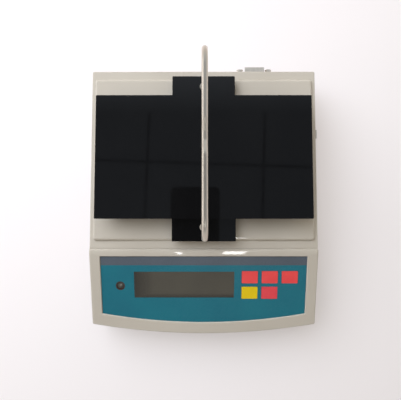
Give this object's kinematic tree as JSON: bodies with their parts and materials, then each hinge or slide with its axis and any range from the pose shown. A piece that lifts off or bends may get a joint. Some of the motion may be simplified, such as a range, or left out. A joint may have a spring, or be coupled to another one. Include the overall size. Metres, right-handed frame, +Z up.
{
  "type": "benchtop density meter",
  "caption": "Benchtop density meter for solids: moulded housing with a sloping key and display console, a weighing plate that carries a rod arch, and a bridge plate for a beaker.",
  "frame": {"origin": "centre of the footprint's bounding box, at the height of the feet's undersides", "axes": "+Z up, -Y towards the user and the console, +X to the user's right"},
  "size_m": [0.1921, 0.229, 0.1678],
  "materials": {
    "housing_beige": "fine moulded texture, satin",
    "membrane_teal": "printed polyester film, fine emboss",
    "display_clear": "smoked clear window, semi-gloss",
    "lcd_glass": "grey liquid crystal panel, off",
    "black_plastic": "satin",
    "board_green": "solder mask, semi-gloss",
    "component_black": "moulded epoxy",
    "tact_black": "moulded",
    "elastomer_grey": "conductive strip, matt",
    "key_red": "satin membrane cap",
    "key_red_pale": "satin membrane cap",
    "key_yellow": "satin membrane cap",
    "level_cup_brown": "moulded cup with a dark ring",
    "level_glass": "clear, filled with pale liquid",
    "acrylic_black": "cast sheet, polished faces, sawn edges",
    "rail_black": "satin",
    "pad_rubber": "matt",
    "stainless": "drawn rod, semi-polished",
    "zinc_steel": "zinc plated",
    "nickel_steel": "nickel plated shell",
    "cast_aluminium": "milled, plain",
    "load_cell_aluminium": "milled, clear anodised",
    "sealant_white": "silicone, matt",
    "brass_plain": "turned",
    "pin_gold": "gold flashed",
    "insulator_black": "moulded",
    "switch_grey": "moulded, satin",
    "foot_black": "moulded wheel",
    "foot_rubber": "matt",
    "cable_grey": "soft jacket",
    "lead_red": "soft jacket",
    "label_silver": "bare foil plate"
  },
  "bodies": {
    "housing": {"upper_cover": "housing_beige", "base_tray": "housing_beige", "cover_screws": "zinc_steel", "rating_plate": "label_silver", "foot_inserts": "brass_plain", "front_overlay": "membrane_teal", "display_window": "display_clear", "lcd_panel": "lcd_glass", "lcd_frame": "black_plastic", "contact_strips": "elastomer_grey", "display_board": "board_green", "display_board_screws": "zinc_steel", "key_switches": "tact_black", "level_cup": "level_cup_brown", "level_vial": "level_glass", "load_cell": "load_cell_aluminium", "gauge_sealant": "sealant_white", "load_cell_block": "cast_aluminium", "load_cell_screws": "zinc_steel", "overload_stops": "zinc_steel", "main_board": "board_green", "main_board_parts": "component_black", "main_board_screws": "zinc_steel", "serial_shell": "nickel_steel", "serial_insulator": "insulator_black", "serial_pins": "pin_gold", "serial_jackscrews": "nickel_steel", "power_jack": "insulator_black", "power_jack_pin": "nickel_steel", "switch_housing": "switch_grey", "switch_terminals": "brass_plain", "load_cell_cable": "cable_grey", "display_cable": "cable_grey", "switch_leads": "lead_red"},
    "pan": {"pan_carrier": "cast_aluminium", "carrier_screws": "zinc_steel", "pan_posts": "cast_aluminium", "pan_screws": "stainless", "weighing_strip": "acrylic_black", "arch_rod": "stainless", "arch_collars": "stainless", "arch_nuts": "stainless"},
    "bridge": {"bridge_plate": "acrylic_black", "bridge_rails": "rail_black", "bridge_pads": "pad_rubber"},
    "red_key_left": {"red_key_left": "key_red"},
    "red_key_middle": {"red_key_middle": "key_red"},
    "red_key_right": {"red_key_right": "key_red"},
    "yellow_key": {"yellow_key": "key_yellow"},
    "red_key_lower": {"red_key_lower": "key_red_pale"},
    "power_rocker": {"switch_rocker": "switch_grey"},
    "foot_pad_front_left": {"foot_pad_front_left": "foot_rubber"},
    "foot_screw_front_left": {"foot_screw_front_left": "foot_black"},
    "foot_pad_front_right": {"foot_pad_front_right": "foot_rubber"},
    "foot_screw_front_right": {"foot_screw_front_right": "foot_black"},
    "foot_pad_rear_left": {"foot_pad_rear_left": "foot_rubber"},
    "foot_screw_rear_left": {"foot_screw_rear_left": "foot_black"},
    "foot_pad_rear_right": {"foot_pad_rear_right": "foot_rubber"},
    "foot_screw_rear_right": {"foot_screw_rear_right": "foot_black"}
  },
  "joints": [
    {"name": "pan_sink", "type": "slide", "parent": "housing", "child": "pan", "axis": [0, 0, 1], "range_m": [-0.0005, 0], "stiffness_N_per_m": 20000, "springref_m": 0.0001, "deforming": ["load_cell", "gauge_sealant"]},
    {"name": "bridge_lift", "type": "slide", "parent": "housing", "child": "bridge", "axis": [0, 0, 1], "range_m": [0, 0.03]},
    {"name": "red_key_left_press", "type": "slide", "parent": "housing", "child": "red_key_left", "axis": [0, -0.2504, 0.9681], "range_m": [-0.00035, 0], "stiffness_N_per_m": 3000},
    {"name": "red_key_middle_press", "type": "slide", "parent": "housing", "child": "red_key_middle", "axis": [0, -0.2504, 0.9681], "range_m": [-0.00035, 0], "stiffness_N_per_m": 3000},
    {"name": "red_key_right_press", "type": "slide", "parent": "housing", "child": "red_key_right", "axis": [0, -0.2504, 0.9681], "range_m": [-0.00035, 0], "stiffness_N_per_m": 3000},
    {"name": "yellow_key_press", "type": "slide", "parent": "housing", "child": "yellow_key", "axis": [0, -0.2504, 0.9681], "range_m": [-0.00035, 0], "stiffness_N_per_m": 3000},
    {"name": "red_key_lower_press", "type": "slide", "parent": "housing", "child": "red_key_lower", "axis": [0, -0.2504, 0.9681], "range_m": [-0.00035, 0], "stiffness_N_per_m": 3000},
    {"name": "rocker_tip", "type": "hinge", "parent": "housing", "child": "power_rocker", "pos_m": [0.0943, 0.0557, 0.0395], "axis": [0, -1, 0], "range_deg": [0, 16]},
    {"name": "foot_travel_front_left", "type": "slide", "parent": "housing", "child": "foot_pad_front_left", "axis": [0, 0, -1], "range_m": [-0.0018, 0.004]},
    {"name": "foot_turn_front_left", "type": "hinge", "parent": "foot_pad_front_left", "child": "foot_screw_front_left", "pos_m": [-0.078, -0.0881, 0.012], "axis": [0, 0, -1], "range_deg": [-630, 1430]},
    {"name": "foot_travel_front_right", "type": "slide", "parent": "housing", "child": "foot_pad_front_right", "axis": [0, 0, -1], "range_m": [-0.0018, 0.004]},
    {"name": "foot_turn_front_right", "type": "hinge", "parent": "foot_pad_front_right", "child": "foot_screw_front_right", "pos_m": [0.078, -0.0881, 0.012], "axis": [0, 0, -1], "range_deg": [-630, 1430]},
    {"name": "foot_travel_rear_left", "type": "slide", "parent": "housing", "child": "foot_pad_rear_left", "axis": [0, 0, -1], "range_m": [-0.0018, 0.004]},
    {"name": "foot_turn_rear_left", "type": "hinge", "parent": "foot_pad_rear_left", "child": "foot_screw_rear_left", "pos_m": [-0.078, 0.0919, 0.012], "axis": [0, 0, -1], "range_deg": [-630, 1430]},
    {"name": "foot_travel_rear_right", "type": "slide", "parent": "housing", "child": "foot_pad_rear_right", "axis": [0, 0, -1], "range_m": [-0.0018, 0.004]},
    {"name": "foot_turn_rear_right", "type": "hinge", "parent": "foot_pad_rear_right", "child": "foot_screw_rear_right", "pos_m": [0.078, 0.0919, 0.012], "axis": [0, 0, -1], "range_deg": [-630, 1430]}
  ],
  "couplings": [
    {"joint": "foot_travel_front_left", "follows": "foot_turn_front_left", "m_per_rad": 0.00015915},
    {"joint": "foot_travel_front_right", "follows": "foot_turn_front_right", "m_per_rad": 0.00015915},
    {"joint": "foot_travel_rear_left", "follows": "foot_turn_rear_left", "m_per_rad": 0.00015915},
    {"joint": "foot_travel_rear_right", "follows": "foot_turn_rear_right", "m_per_rad": 0.00015915}
  ]
}
